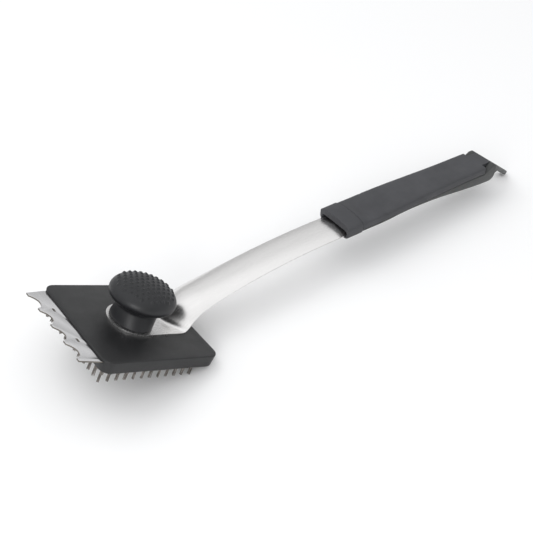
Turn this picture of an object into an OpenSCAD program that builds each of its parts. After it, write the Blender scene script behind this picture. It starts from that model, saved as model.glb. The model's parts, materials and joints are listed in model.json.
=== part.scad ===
// Grill cleaning brush with a stamped steel arm, a palm knob over the head,
// a front scraper and a moulded grip that ends in a hang loop.
//
// Every piece is drawn in the tool's own frame: x = 0 on the knob's axis, y = 0 on the plane of
// symmetry, z = 0 at the bristle tips, with the handle towards +x. rest_pose() then lays the whole
// tool down the way it rests on a table, on its rear bristles and on the tip of the hang loop.

/* [Head block] */
// Length of the head block, front to back
head_len = 102; // [96:1:110]
// Width of the head block
head_w = 99; // [98:1:106]
// Thickness of the head block
head_t = 10; // [9.5:0.5:12]
// Radius of the block's corners in plan
head_corner_r = 8.5; // [6:0.5:8.5]
// Distance from the block's front face back to the knob's axis
knob_back = 51.5; // [50:0.5:54]
// How far the lower edge of the block draws in under the upper one
head_draft = 1.1; // [0.5:0.1:1.2]
// Small bevel round the block's top edge
head_bevel = 0.7; // [0.4:0.1:1.5]

/* [Bristles] */
// How far the bristles stand out of the block
bristle_out = 9.8; // [8:0.2:14]
// Diameter of a tuft of wire
tuft_d = 2.4; // [1.8:0.1:2.6]
// Spacing of the tuft rows along the head
row_pitch = 7.3; // [7.1:0.1:7.4]
// Spacing of the tufts across the head
tuft_pitch = 7.25; // [7.15:0.05:7.3]
// Distance from the block's front face to the first row
row_inset = 3.4; // [3.3:0.1:3.6]
// Depth of the drilled tuft holes
tuft_hole_depth = 6; // [5:0.1:6]

/* [Scraper] */
// Thickness of the scraper sheet
scraper_t = 1.3; // [1:0.1:1.5]
// How far the teeth reach in front of the block
scraper_out = 16.6; // [12:0.2:20]
// Width of the scraper at the teeth
scraper_w = 83; // [83:1:86]
// Spacing of the scraper's teeth
tooth_pitch = 20; // [19:0.5:20]
// Depth of the notches between the teeth
notch_depth = 5; // [3:0.1:5.5]
// Plastic left over the scraper's slot
slot_roof = 1.9; // [1.7:0.1:2.1]

/* [Knob] */
// Radius of the knob's cap
cap_r = 26; // [24:0.5:27]
// Height of the whole knob over the arm's tab
knob_h = 33; // [30:0.5:36]
// Radius of the waist that the fingers reach round
waist_r = 16.5; // [15:0.5:18]
// Half width of the knob's oval foot, across the head
foot_w = 19.2; // [18:0.1:20.5]
// Half length of the knob's oval foot, along the head
foot_l = 16; // [15.5:0.1:17.5]
// How far the foot sits in front of the cap
foot_lead = 2.6; // [2:0.1:3.2]
// Thickness of the soft cover
cover_t = 2.2; // [1.6:0.1:2.6]

/* [Arm] */
// Thickness of the arm's steel sheet
arm_t = 1.5; // [1.2:0.1:1.8]
// Half width of the arm's flat tab
tab_r = 21.3; // [20.5:0.1:22]
// Distance from the knob's axis back to the fold at the arm's edges
fold_back = 36.2; // [35:0.1:37]
// Angle at which the arm leaves the tab
rise_angle = 62; // [58:1:66]
// Angle after the knee
knee_angle = 36; // [34:0.5:38]
// Angle where the arm meets the grip
end_angle = 24.4; // [23:0.1:26]
// Length of the gently curved stretch between the knee and the grip
sweep_len = 139; // [130:1:150]

/* [Grip] */
// Angle of the grip and of the tang inside it
grip_angle = 25.6; // [24:0.1:27]
// Length of the grip from its mouth to the end wall
grip_len = 184; // [182:1:190]
// Half width of the grip's top at the front
grip_front_w = 18; // [17.5:0.5:19]
// Half width of the grip's top at the back
grip_back_w = 14.8; // [14:0.1:16]
// Height of the grip behind its collar
grip_h = 12; // [11.8:0.1:13]
// Depth of the collar
collar_h = 10.8; // [10.6:0.1:11.6]
// How much deeper the heel of the grip is
heel_drop = 13.5; // [11:0.5:14]
// Wall thickness of the grip's mouldings
grip_wall = 2.6; // [2.4:0.1:2.8]
// Length of the front collar
collar_len = 16; // [12:1:20]

/* [Hang loop] */
// Length of the loop along its own plate
loop_len = 52; // [48:1:56]
// Thickness of the loop's plate
loop_t = 4.4; // [4:0.1:5]
// Angle of the loop below the grip's axis
loop_angle = 36; // [30:1:40]
// Half width of the loop where it leaves the grip
loop_base_w = 15; // [14:0.5:15.5]
// Radius of the loop's tip
loop_tip_r = 4.5; // [4:0.1:5.5]

/* [Hidden] */

$fn = 48;
eps = 0.01;         // overlap that keeps boolean faces apart
beyond = 60;        // reach of a cutter that has to clear a whole piece
hull_fn = 32;       // facets of the round corners inside a hull
neck_fn = 36;       // facets round the knob's neck
neck_steps = 8;
fit = 0.1;          // play between neighbouring pieces

// Heights in the tool's frame
block_z0 = bristle_out;
block_z1 = block_z0 + head_t;
tab_z1 = block_z1 + arm_t;
front_x = -knob_back;
slot_z1 = block_z1 - slot_roof;
slot_z0 = slot_z1 - scraper_t;

// Tufts
rows = 12;
row_tufts = 13;
tuft_hole_d = tuft_d + 2 * fit;
tuft_top = block_z0 + tuft_hole_depth;
anchor_h = 1.4;
anchor_t = 0.35;
anchor_z = tuft_top - 2.2;

// Knob screw, washer and insert
knob_screw_d = 4.9;
knob_head_d = 8.6;
knob_head_h = 3;
washer_d = 9.4;
washer_t = 1;
washer_z1 = block_z1 - 4.6;
counterbore_d = 10;
insert_d = 8;
insert_h = 13;
insert_z0 = tab_z1 + 0.5;

// Screws that keep the arm from turning under the knob
arm_screw_x = row_x(6) + row_pitch * 1.5;
arm_screw_y = tuft_pitch * 1.5;
arm_screw_d = 2.8;
arm_screw_len = 7;
arm_head_d = 5.6;
arm_head_h = 1.7;

// Screws that hold the scraper
scraper_screw_x = row_x(1) + row_pitch / 2;
scraper_screw_y = tuft_pitch * 3.5;
scraper_screw_d = 2.8;
scraper_head_d = 4.8;
scraper_head_h = 1.8;
scraper_tail = 18;          // length of the scraper inside the block
window_r = 0.95;            // radius of the ends of the two windows in the scraper
window_len = 2.4;           // distance between the middles of those ends

// Arm
rise_len = 7.6;
knee_r = 39;
knee_len = knee_r * (rise_angle - knee_angle) * PI / 180;
mouth_u = rise_len + knee_len + sweep_len;
tang_len = 112;
tang_w = 9.5;
tang_h = 1.5;
tang_taper = 14;
arm_end_w = 15.3;
arm_end_h = 2.2;
arm_root_h = 10;
fold_start = -9;            // the sweep begins below the tab and is trimmed level with it
section_steps = 14;

// Grip, in a frame of its own at the mouth: x along the grip, z up from the line of its top edges
edge_drop = 6.8;            // the arm's edges lie this far below the grip's top line
side_z = -2.6;              // level at which the grip is widest
rim_up = 1.1;               // how far the rounded rims rise over the line of the top edges
camber = 1.3;               // how far the top arches along its length
dish = 1.2;                 // hollow of the grip's top
collar_arch = 2;            // arch of the collar's top
mouth_w = 16;               // half width of the slot in the collar
mouth_z = [-9.2, -3];       // levels of the slot's floor and roof
mouth_r = 1.6;              // radius of the slot's corners
split_z = -6.5;             // parting line between cover and body
cover_end = 180;            // where the cover's middle ends, at the front of the loop's hole
shoulder = 168;             // where the cover's sides end, in front of the loop's ears
tongue_w = 9.5;             // half width of the cover between the ears
ear_foot = 4.5;             // length of the notch between the cover's side and the ear
grip_fn = 32;
tang_bolt_x = [45, 95];
tang_screw_d = 3;
tang_head_d = 5.4;
tang_head_h = 1.8;
nut_w = 5.4;
nut_t = 1.7;
nut_z0 = -edge_drop + tang_h + fit / 2;
post_d = 8;
post_gap = 0.35;            // left between a post and the tang
loop_start = [177, 2.4];    // where the loop's plate begins, along the grip and up
web_len = 19;               // how far back the web under the loop reaches
heel_up = -17;              // level where the web leaves the grip's end

// Where the arm's line starts and where each of its stretches ends, as [x, z]
fold = [fold_back, tab_z1];
knee = fold + rise_len * along(rise_angle);
sweep = arc_point(knee, rise_angle, knee_angle, knee_len, knee_len);
sweep_end = arc_point(sweep, knee_angle, end_angle, sweep_len, sweep_len);

// Rest pose: the line from the rear bristles' tips to the loop's lower tip lies on the table
mouth = path_point(mouth_u);
grip_origin = mouth + edge_drop * normal(grip_angle);
loop_slope = grip_angle - loop_angle;
loop_root = grip_origin + loop_start[0] * along(grip_angle) + loop_start[1] * normal(grip_angle);
loop_tip_top = loop_root + loop_len * along(loop_slope);
loop_tip_low = loop_tip_top - loop_t * normal(loop_slope);
heel_x = row_x(rows - 1) + tuft_d / 2;
rest_tilt = atan2(loop_tip_low[1], loop_tip_low[0] - heel_x);
rest_lift = heel_x * sin(rest_tilt);
low_x = (front_x - scraper_out) * cos(rest_tilt) + slot_z0 * sin(rest_tilt);
high_x = loop_tip_top[0] * cos(rest_tilt) + loop_tip_top[1] * sin(rest_tilt);
rest_x = -(low_x + high_x) / 2;

// ---- functions ----

function row_x(i) = front_x + row_inset + i * row_pitch;
function tuft_y(j) = (j - (row_tufts - 1) / 2) * tuft_pitch;

// The knob's screw takes the place of the tufts nearest to the knob's axis.
function has_tuft(x, y) = norm([x, y]) > (counterbore_d + tuft_hole_d) / 2 + 0.5;

function along(a) = [cos(a), sin(a)];
function normal(a) = [-sin(a), cos(a)];
function smooth(t) = let (c = min(max(t, 0), 1)) c * c * (3 - 2 * c);

// Point at a distance u along an arc that starts at p with slope a0 and ends with slope a1
function arc_point(p, a0, a1, len, u) =
    let (r = len / ((a0 - a1) * PI / 180), a = a0 - (a0 - a1) * u / len)
    p + r * [sin(a0) - sin(a), cos(a) - cos(a0)];

// The line midway between the arm's lower edges: a straight rise, a knee, a long gentle curve
// and the straight tang inside the grip
function path_point(u) =
    u < rise_len ? fold + u * along(rise_angle) :
    u < rise_len + knee_len ? arc_point(knee, rise_angle, knee_angle, knee_len, u - rise_len) :
    u < mouth_u ? arc_point(sweep, knee_angle, end_angle, sweep_len, u - rise_len - knee_len) :
    sweep_end + (u - mouth_u) * along(grip_angle);

function path_angle(u) =
    u < rise_len ? rise_angle :
    u < rise_len + knee_len ? rise_angle - (rise_angle - knee_angle) * (u - rise_len) / knee_len :
    u < mouth_u ? knee_angle - (knee_angle - end_angle) * (u - rise_len - knee_len) / sweep_len :
    grip_angle;

// Half width, crown height and roundness of the arm's arched section
function arm_w(u) =
    let (open_w = arm_end_w + (tab_r - 0.6 - arm_end_w) * exp(-max(u, 0) / 32))
    open_w + (tang_w - open_w) * smooth((u - mouth_u) / tang_taper);
function arm_h(u) =
    let (open_h = arm_end_h + (arm_root_h - arm_end_h) * exp(-max(u, 0) / 34))
    open_h + (tang_h - open_h) * smooth((u - mouth_u) / tang_taper);
function arm_p(u) = 2.2 - 1.1 * exp(-max(u, 0) / 15);

// Where the arch's curved fold line crosses the tab at a share t of its half width
function fold_x(t) = fold_back - arm_h(0) * (1 - pow(abs(t), arm_p(0))) / sin(rise_angle);

// One closed section of the arm: its under side first, then back over the crown
function arm_ring(u) =
    let (
        p = path_point(u), n = normal(path_angle(u)),
        w = arm_w(u), h = arm_h(u), k = arm_p(u),
        side = [for (i = [0:section_steps]) -1 + 2 * i / section_steps],
        crown = [for (t = side) h * (1 - pow(abs(t), k))],
        under = [for (i = [0:section_steps])
            crown[i] - arm_t * sqrt(1 + pow(h * k * pow(abs(side[i]), k - 1) / w, 2))]
    )
    concat(
        [for (i = [0:section_steps]) spot(p, n, side[i] * w, under[i])],
        [for (i = [section_steps:-1:0]) spot(p, n, side[i] * w, crown[i])]
    );
function spot(p, n, y, up) = [p[0] + n[0] * up, y, p[1] + n[1] * up];

// The grip's outline at a distance s from the mouth, drawn in by inset
function grip_w(s) = grip_front_w + (grip_back_w - grip_front_w) * smooth((s - 40) / 100) + 0.6;
function grip_low(s) =
    collar_h + (grip_h - collar_h) * smooth((s - collar_len) / 30) + heel_drop * smooth((s - 55) / 135);
// The top is arched over the collar and turns into a shallow dish behind it.
function grip_dish(s) = dish - (dish + collar_arch) * (1 - smooth((s - collar_len) / 12));
// The underside is square at the collar and rounder behind it.
function low_power(s) = 2.5 + 1.3 * (1 - smooth((s - collar_len) / 60));
function end_round(s) = s < grip_len - 5 ? 1 : sqrt(1 - 0.3 * pow((s - grip_len + 5) / 5, 2));
function power(v, k) = sign(v) * pow(abs(v), k);
function grip_ring(s, inset) =
    let (
        w = (grip_w(s) - inset) * end_round(s),
        up = rim_up + camber * sin(180 * min(max(s, 0), grip_len) / grip_len) - side_z - inset * 1.1,
        low = (grip_low(s) + side_z - inset) * end_round(s)
    )
    [for (i = [0:grip_fn - 1])
        let (
            a = 360 * (i + 0.5) / grip_fn,
            k = 2 / (a < 180 ? 4.2 : low_power(s)),
            y = w * power(cos(a), k),
            z = (a < 180 ? up : low) * power(sin(a), k)
        )
        [s, y, side_z + z - (a < 180 ? grip_dish(s) * (1 - pow(y / w, 2)) : 0)]];

// ---- shared modules ----

// Solid skin over a list of rings that all have the same number of points
module loft(rings) {
    m = len(rings[0]);
    last = len(rings) - 1;
    skin = [for (i = [0:last - 1], j = [0:m - 1])
        let (a = i * m + j, b = i * m + (j + 1) % m)
        each [[a, b + m, b], [a, a + m, b + m]]];
    polyhedron(
        [for (r = rings) each r],
        concat([[for (j = [0:m - 1]) j]], skin, [[for (j = [m - 1:-1:0]) last * m + j]]),
        convexity = 6
    );
}

module rest_pose() {
    translate([rest_x, 0, rest_lift])
        rotate([0, rest_tilt, 0])
            children();
}

module grip_frame() {
    translate([grip_origin[0], 0, grip_origin[1]])
        rotate([0, -grip_angle, 0])
            children();
}

module loop_frame() {
    translate([loop_root[0], 0, loop_root[1]])
        rotate([0, -loop_slope, 0])
            children();
}

module rounded_plate(len, width, r, thick, x0, z0) {
    for (x = [x0 + r, x0 + len - r], y = [-1, 1])
        translate([x, y * (width / 2 - r), z0])
            cylinder(r = r, h = thick, $fn = hull_fn);
}

module each_tuft() {
    for (i = [0:rows - 1])
        row_tufts_at(i) children();
}

module row_tufts_at(i) {
    for (j = [0:row_tufts - 1])
        if (has_tuft(row_x(i), tuft_y(j)))
            translate([row_x(i), tuft_y(j), 0])
                children();
}

module mirrored_y(y) {
    for (side = [-1, 1])
        translate([0, side * y, 0])
            children();
}

// ---- head ----

module head_block() {
    color("#38383b")
        difference() {
            hull() {
                rounded_plate(head_len - 2 * head_draft, head_w - 2 * head_draft,
                    head_corner_r - head_draft, eps, front_x + head_draft, block_z0);
                rounded_plate(head_len, head_w, head_corner_r, eps, front_x, block_z1 - head_bevel);
                rounded_plate(head_len - 2 * head_bevel, head_w - 2 * head_bevel,
                    head_corner_r - head_bevel, eps, front_x + head_bevel, block_z1 - eps);
            }
            each_tuft()
                translate([0, 0, block_z0 - 1])
                    cylinder(d = tuft_hole_d, h = tuft_hole_depth + 1);
            scraper_slot();
            knob_screw_way();
            scraper_screw_ways();
            arm_screw_pilots();
        }
}

module scraper_slot() {
    translate([front_x - 1, -(scraper_w + 6) / 2 - fit, slot_z0 - fit])
        cube([scraper_tail + fit + 1, scraper_w + 6 + 2 * fit, scraper_t + 2 * fit]);
}

module knob_screw_way() {
    translate([0, 0, block_z0 - 1])
        cylinder(d = counterbore_d, h = washer_z1 - block_z0 + 1);
    translate([0, 0, block_z0])
        cylinder(d = knob_screw_d + 0.6, h = head_t + 1);
}

module scraper_screw_ways() {
    mirrored_y(scraper_screw_y)
        translate([scraper_screw_x, 0, block_z0 - 1]) {
            cylinder(d = scraper_head_d + 0.4, h = scraper_head_h + 2);
            cylinder(d = scraper_screw_d + 2 * fit, h = head_t);
        }
}

module arm_screw_pilots() {
    mirrored_y(arm_screw_y)
        translate([arm_screw_x, 0, block_z1 - arm_screw_len + arm_t - 0.5])
            cylinder(d = arm_screw_d + 2 * fit, h = arm_screw_len + 2);
}

// One notch between two teeth: a curve that dives in from the first tooth, then an arc back out
module notch(y) {
    flat = 3.5;
    span = tooth_pitch - flat;
    deep = notch_depth;
    run = span * 0.55;
    steps = 8;
    dive = [for (i = [0:steps])
        let (t = i / steps)
        [deep * (1 - pow(1 - t, 2)), -run * t]];
    arc = [for (i = [1:steps])
        let (a = 90 * i / steps)
        [deep * cos(a), -run - (span - run) * sin(a)]];
    translate([front_x - scraper_out, y - flat / 2])
        polygon(concat([[-1, 0]], dive, arc, [[-1, -span]]));
}

module scraper_outline() {
    tip = front_x - scraper_out;
    back = front_x + scraper_tail;
    half_tip = scraper_w / 2;
    half_back = scraper_w / 2 + 2.5;
    polygon([
        [tip, -half_tip], [tip, half_tip], [front_x, half_back],
        [back, half_back], [back, -half_back], [front_x, -half_back]
    ]);
}

module scraper_plate() {
    hole_x = front_x - scraper_out / 3;
    color("#c9c9cc")
        difference() {
            translate([0, 0, slot_z0])
                linear_extrude(scraper_t)
                    difference() {
                        scraper_outline();
                        for (k = [2:-1:-1])
                            notch(k * tooth_pitch);
                        mirrored_y(tooth_pitch * 0.93)
                            translate([hole_x, 0]) {
                                square([2 * window_r, window_len], center = true);
                                mirrored_y(window_len / 2)
                                    circle(r = window_r);
                            }
                    }
            mirrored_y(scraper_screw_y)
                translate([scraper_screw_x, 0, slot_z0 - 1])
                    cylinder(d = scraper_screw_d + 0.8, h = scraper_t + 2);
        }
}

module scraper_screws() {
    head_z1 = block_z0 + scraper_head_h + 1 - fit;
    color("#8f8f92")
        mirrored_y(scraper_screw_y)
            translate([scraper_screw_x, 0, 0]) {
                translate([0, 0, head_z1 - scraper_head_h])
                    cylinder(d = scraper_head_d, h = scraper_head_h);
                translate([0, 0, head_z1 - eps])
                    cylinder(d = scraper_screw_d, h = block_z0 + head_t - 1 - fit - head_z1);
            }
}

// ---- bristles ----

module tuft_row(i) {
    color("#8a8178")
        row_tufts_at(i)
            difference() {
                cylinder(d = tuft_d, h = tuft_top - fit);
                translate([-tuft_d, -(anchor_t + fit) / 2, anchor_z - fit])
                    cube([2 * tuft_d, anchor_t + fit, tuft_top]);
            }
}

// Flat metal slips that pin each folded tuft at the bottom of its hole
module bristle_anchors() {
    color("#9a9a9c")
        each_tuft()
            translate([-tuft_d * 0.42, -anchor_t / 2, anchor_z])
                cube([tuft_d * 0.84, anchor_t, anchor_h]);
}

// ---- arm ----

module arm_tab() {
    linear_extrude(arm_t)
        difference() {
            union() {
                circle(r = tab_r);
                translate([0, -tab_r])
                    square([fold_back, 2 * tab_r]);
            }
            // the sheet leaves the tab along the arch's own curve
            polygon(concat(
                [[fold_back + 1, -tab_r - 1]],
                [for (i = [0:section_steps])
                    let (t = -1 + 2 * i / section_steps)
                    [fold_x(t) + 1, t * arm_w(0)]],
                [[fold_back + 1, tab_r + 1]]
            ));
        }
}

module arm_sweep() {
    stations = concat(
        [fold_start],
        [for (u = [0:2:mouth_u / 5]) u],
        [for (i = [1:12]) mouth_u / 5 + i * mouth_u * 0.8 / 12],
        [for (i = [1:5]) mouth_u + i * tang_taper / 5],
        [mouth_u + tang_len]
    );
    loft([for (u = stations) arm_ring(u)]);
}

module arm() {
    color("#d8d6d4")
        difference() {
            union() {
                translate([0, 0, block_z1])
                    arm_tab();
                difference() {
                    arm_sweep();
                    translate([-beyond, -beyond, block_z1 - beyond])
                        cube([3 * beyond, 2 * beyond, beyond]);
                }
            }
            translate([0, 0, block_z1 - 1])
                cylinder(d = knob_screw_d + 0.6, h = arm_t + 2);
            mirrored_y(arm_screw_y)
                translate([arm_screw_x, 0, block_z1 - 1])
                    cylinder(d = arm_screw_d + 0.8, h = arm_t + 2);
            grip_frame()
                at_tang_bolts()
                    translate([0, 0, $floor_z])
                        cylinder(d = tang_screw_d + 0.6, h = -$floor_z);
        }
}

// $floor_z is the level of the grip's underside at that screw.
module at_tang_bolts() {
    for (s = tang_bolt_x)
        let ($floor_z = -grip_low(s))
            translate([s, 0, 0])
                children();
}

module arm_screws() {
    color("#8f8f92")
        mirrored_y(arm_screw_y)
            translate([arm_screw_x, 0, tab_z1 + fit / 2]) {
                cylinder(d = arm_head_d, h = arm_head_h);
                translate([0, 0, -arm_screw_len])
                    cylinder(d = arm_screw_d, h = arm_screw_len + eps);
            }
}

// ---- knob ----

// Height of the cap's underside and of its rim
function lip_z(inset) = knob_h * 0.44 + inset * 0.8;
rim_z = knob_h * 0.64;

// Half profile of the cap, drawn in by inset: a short neck, the underside, the rim and the dome
function cap_profile(inset) =
    let (
        neck = waist_r - inset, rim = cap_r - inset, top = knob_h - inset,
        steps = 10
    )
    concat(
        [[0, lip_z(inset) - 1], [neck - 0.5, lip_z(inset) - 1]],
        [for (i = [0:steps])
            let (a = -90 + 90 * i / steps)
            [neck + 1 + (rim - neck - 1) * cos(a), rim_z + (rim_z - lip_z(inset)) * sin(a)]],
        [for (i = [1:steps])
            let (a = 90 * i / steps)
            [rim * pow(cos(a), 0.8), rim_z + (top - rim_z) * sin(a)]]
    );

// Oval section of the neck at a share t of its height, from the foot up to the cap
function neck_ring(t, inset) =
    let (
        flare = pow(1 - t, 2.2),
        half_l = waist_r + (foot_l - waist_r) * flare - inset,
        half_w = waist_r + (foot_w - waist_r) * flare - inset,
        lead = foot_lead * (1 - t)
    )
    [for (i = [0:neck_fn - 1])
        let (a = 360 * (i + 0.5) / neck_fn)
    [half_l * cos(a) - lead, half_w * sin(a), t * (lip_z(inset) + 0.6)]];

module knob_solid(inset) {
    rotate_extrude($fn = 64)
        polygon(cap_profile(inset));
    loft([for (i = [0:neck_steps]) neck_ring(i / neck_steps, inset)]);
}

module knob_core() {
    color("#2b2b2d")
        translate([0, 0, tab_z1 + fit / 2])
            difference() {
                knob_solid(cover_t + fit);
                translate([0, 0, -1])
                    cylinder(d = insert_d + 2 * fit, h = insert_h + 2);
                mirrored_y(arm_screw_y)
                    translate([arm_screw_x, 0, -1])
                        cylinder(d = arm_head_d + 1.2, h = arm_head_h + 1.6);
            }
}

module knob_cover() {
    color("#3c3d41")
        translate([0, 0, tab_z1 + fit / 2])
            difference() {
                knob_solid(0);
                knob_solid(cover_t);
                translate([0, 0, -eps])
                    linear_extrude(2 * eps)
                        polygon([for (q = neck_ring(0, cover_t)) [q[0], q[1]]]);
            }
}

module knob_insert() {
    color("#b59a55")
        translate([0, 0, insert_z0])
            difference() {
                cylinder(d = insert_d, h = insert_h);
                translate([0, 0, -1])
                    cylinder(d = knob_screw_d + 2 * fit, h = insert_h + 2);
            }
}

module knob_screw() {
    head_z1 = washer_z1 - washer_t - fit;
    color("#8f8f92")
        difference() {
            union() {
                translate([0, 0, head_z1 - knob_head_h])
                    cylinder(d = knob_head_d, h = knob_head_h);
                translate([0, 0, head_z1 - eps])
                    cylinder(d = knob_screw_d, h = insert_z0 + insert_h - 1 - head_z1);
            }
            translate([0, 0, head_z1 - knob_head_h - 1])
                cylinder(d = 4.6, h = 2.8, $fn = 6);
        }
}

module knob_washer() {
    color("#b5b5b8")
        translate([0, 0, washer_z1 - washer_t - fit / 2])
            difference() {
                cylinder(d = washer_d, h = washer_t);
                translate([0, 0, -1])
                    cylinder(d = knob_screw_d + 0.5, h = washer_t + 2);
            }
}

// ---- grip ----

module grip_solid(s0, s1, inset) {
    steps = max(2, ceil((s1 - s0) / 8));
    loft([for (i = [0:steps]) grip_ring(s0 + (s1 - s0) * i / steps, inset)]);
}

module grip_collar() {
    color("#4c4d50")
        grip_frame()
            difference() {
                grip_solid(0, collar_len - fit, -0.5);
                collar_slot();
            }
}

// Slot with round corners that the arm passes through
module collar_slot() {
    translate([-1, 0, 0])
        rotate([90, 0, 90])
            linear_extrude(collar_len + 2) {
                translate([-mouth_w, mouth_z[0] + mouth_r])
                    square([2 * mouth_w, mouth_z[1] - mouth_z[0] - 2 * mouth_r]);
                translate([mouth_r - mouth_w, mouth_z[0]])
                    square([2 * (mouth_w - mouth_r), mouth_z[1] - mouth_z[0]]);
                for (y = [-1, 1], z = [mouth_z[0] + mouth_r, mouth_z[1] - mouth_r])
                    translate([y * (mouth_w - mouth_r), z])
                        circle(r = mouth_r);
            }
}

module grip_cover() {
    color("#4c4d50")
        grip_frame()
            difference() {
                grip_solid(collar_len + fit, cover_end, 0);
                translate([-beyond, -beyond, split_z - beyond])
                    cube([grip_len + 2 * beyond, 2 * beyond, beyond + fit / 2]);
                for (y = [tongue_w, -tongue_w - beyond])
                    translate([shoulder, y, -beyond])
                        cube([beyond, beyond, 2 * beyond]);
                grip_cavity();
            }
}

module grip_cavity() {
    grip_solid(collar_len - 1, shoulder - grip_wall, grip_wall);
}

// The room above the parting line that belongs to the cover and to the notches beside it
module cover_room() {
    translate([-beyond, -beyond, split_z - fit / 2])
        cube([beyond + shoulder + fit, 2 * beyond, beyond]);
    translate([-beyond, -tongue_w - fit, split_z - fit / 2])
        cube([beyond + cover_end + fit, 2 * (tongue_w + fit), beyond]);
    ear_top = loop_start + 2 * along(-loop_angle);
    rotate([90, 0, 0])
        linear_extrude(2 * beyond, center = true)
            polygon([
                [shoulder, split_z - fit / 2], [shoulder + ear_foot, split_z + 3.5],
                ear_top, [ear_top[0], beyond], [shoulder, beyond]
            ]);
}

module loop_outline(grow) {
    hull() {
        for (y = [-1, 1])
            translate([6, y * (loop_base_w - 4 + grow)])
                circle(r = 4, $fn = hull_fn);
        translate([loop_len - loop_tip_r, 0])
            circle(r = loop_tip_r + grow, $fn = hull_fn);
    }
}

module loop_hole() {
    hull() {
        for (y = [-1, 1])
            translate([6.5, y * 7])
                circle(r = 2.5, $fn = hull_fn);
        translate([loop_len - 11, 0])
            circle(r = 2.5, $fn = hull_fn);
    }
}

// Web under the root of the loop, hollowed towards the heel
module loop_web() {
    root = loop_start - loop_t * normal(-loop_angle);
    far = root + web_len * along(-loop_angle);
    heel = [grip_len - 1, heel_up];
    steps = 6;
    intersection() {
        loop_frame()
            translate([0, 0, -2 * web_len])
                linear_extrude(2 * web_len)
                    loop_outline(0);
        grip_frame()
            rotate([90, 0, 0])
                linear_extrude(2 * loop_base_w, center = true)
                    polygon(concat(
                        [heel - [4, 0], heel - [4, heel_up + 6], far + [0, 1]],
                        [for (i = [steps:-1:0])
                            let (t = i / steps)
                            [heel[0] + (far[0] - heel[0]) * t, heel[1] + (far[1] - heel[1]) * sqrt(t)]]
                    ));
    }
}

module grip_body() {
    color("#4f504f")
        difference() {
            union() {
                grip_frame()
                    difference() {
                        grip_solid(collar_len + fit, grip_len, 0);
                        cover_room();
                        grip_cavity();
                    }
                grip_frame()
                    at_tang_bolts()
                        translate([0, 0, $floor_z + grip_wall / 2])
                            cylinder(d = post_d, h = -$floor_z - grip_wall / 2 - edge_drop - post_gap);
                loop_frame()
                    translate([0, 0, -loop_t])
                        linear_extrude(loop_t)
                            loop_outline(0);
                loop_web();
            }
            loop_frame() {
                translate([0, 0, -2 * web_len])
                    linear_extrude(2 * web_len + 10)
                        loop_hole();
                // nothing of the grip's end stands over the loop's plate
                translate([0, -beyond, 0])
                    cube([beyond, 2 * beyond, beyond]);
            }
            grip_frame()
                translate([0, -tongue_w - fit, split_z - fit / 2])
                    cube([cover_end + fit, 2 * (tongue_w + fit), beyond]);
            grip_frame()
                at_tang_bolts() {
                    translate([0, 0, $floor_z - 1])
                        cylinder(d = tang_screw_d + 0.4, h = -$floor_z);
                    translate([0, 0, $floor_z - 1])
                        cylinder(d = tang_head_d + 0.6, h = tang_head_h + 1.6);
                }
        }
}

module tang_screws() {
    color("#8f8f92")
        grip_frame()
            at_tang_bolts() {
                translate([0, 0, $floor_z + 0.5])
                    cylinder(d = tang_head_d, h = tang_head_h);
                translate([0, 0, $floor_z + 0.5])
                    cylinder(d = tang_screw_d, h = nut_z0 + nut_t - $floor_z - 0.5);
            }
}

module tang_nuts() {
    color("#b5b5b8")
        grip_frame()
            at_tang_bolts()
                translate([0, 0, nut_z0])
                    difference() {
                        translate([-nut_w / 2, -nut_w / 2, 0])
                            cube([nut_w, nut_w, nut_t]);
                        translate([0, 0, -1])
                            cylinder(d = tang_screw_d + 2 * fit, h = nut_t + 2);
                    }
}

// ---- pieces ----

rest_pose() head_block();
rest_pose() scraper_plate();
rest_pose() scraper_screws();
rest_pose() tuft_row(0);  // bristle_row_01
rest_pose() tuft_row(1);  // bristle_row_02
rest_pose() tuft_row(2);  // bristle_row_03
rest_pose() tuft_row(3);  // bristle_row_04
rest_pose() tuft_row(4);  // bristle_row_05
rest_pose() tuft_row(5);  // bristle_row_06
rest_pose() tuft_row(6);  // bristle_row_07
rest_pose() tuft_row(7);  // bristle_row_08
rest_pose() tuft_row(8);  // bristle_row_09
rest_pose() tuft_row(9);  // bristle_row_10
rest_pose() tuft_row(10);  // bristle_row_11
rest_pose() tuft_row(11);  // bristle_row_12
rest_pose() bristle_anchors();
rest_pose() arm();
rest_pose() arm_screws();
rest_pose() knob_core();
rest_pose() knob_cover();
rest_pose() knob_insert();
rest_pose() knob_screw();
rest_pose() knob_washer();
rest_pose() grip_collar();
rest_pose() grip_body();
rest_pose() grip_cover();
rest_pose() tang_screws();
rest_pose() tang_nuts();
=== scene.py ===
# Grill cleaning brush: the detailed pieces, materials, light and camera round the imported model.
#
# Every piece is drawn in millimetres in the tool's own frame: x = 0 on the knob's axis, y = 0 on
# the plane of symmetry, z = 0 at the bristle tips, with the handle towards +x. add_piece() then
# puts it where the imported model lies.

import math
import random

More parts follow.
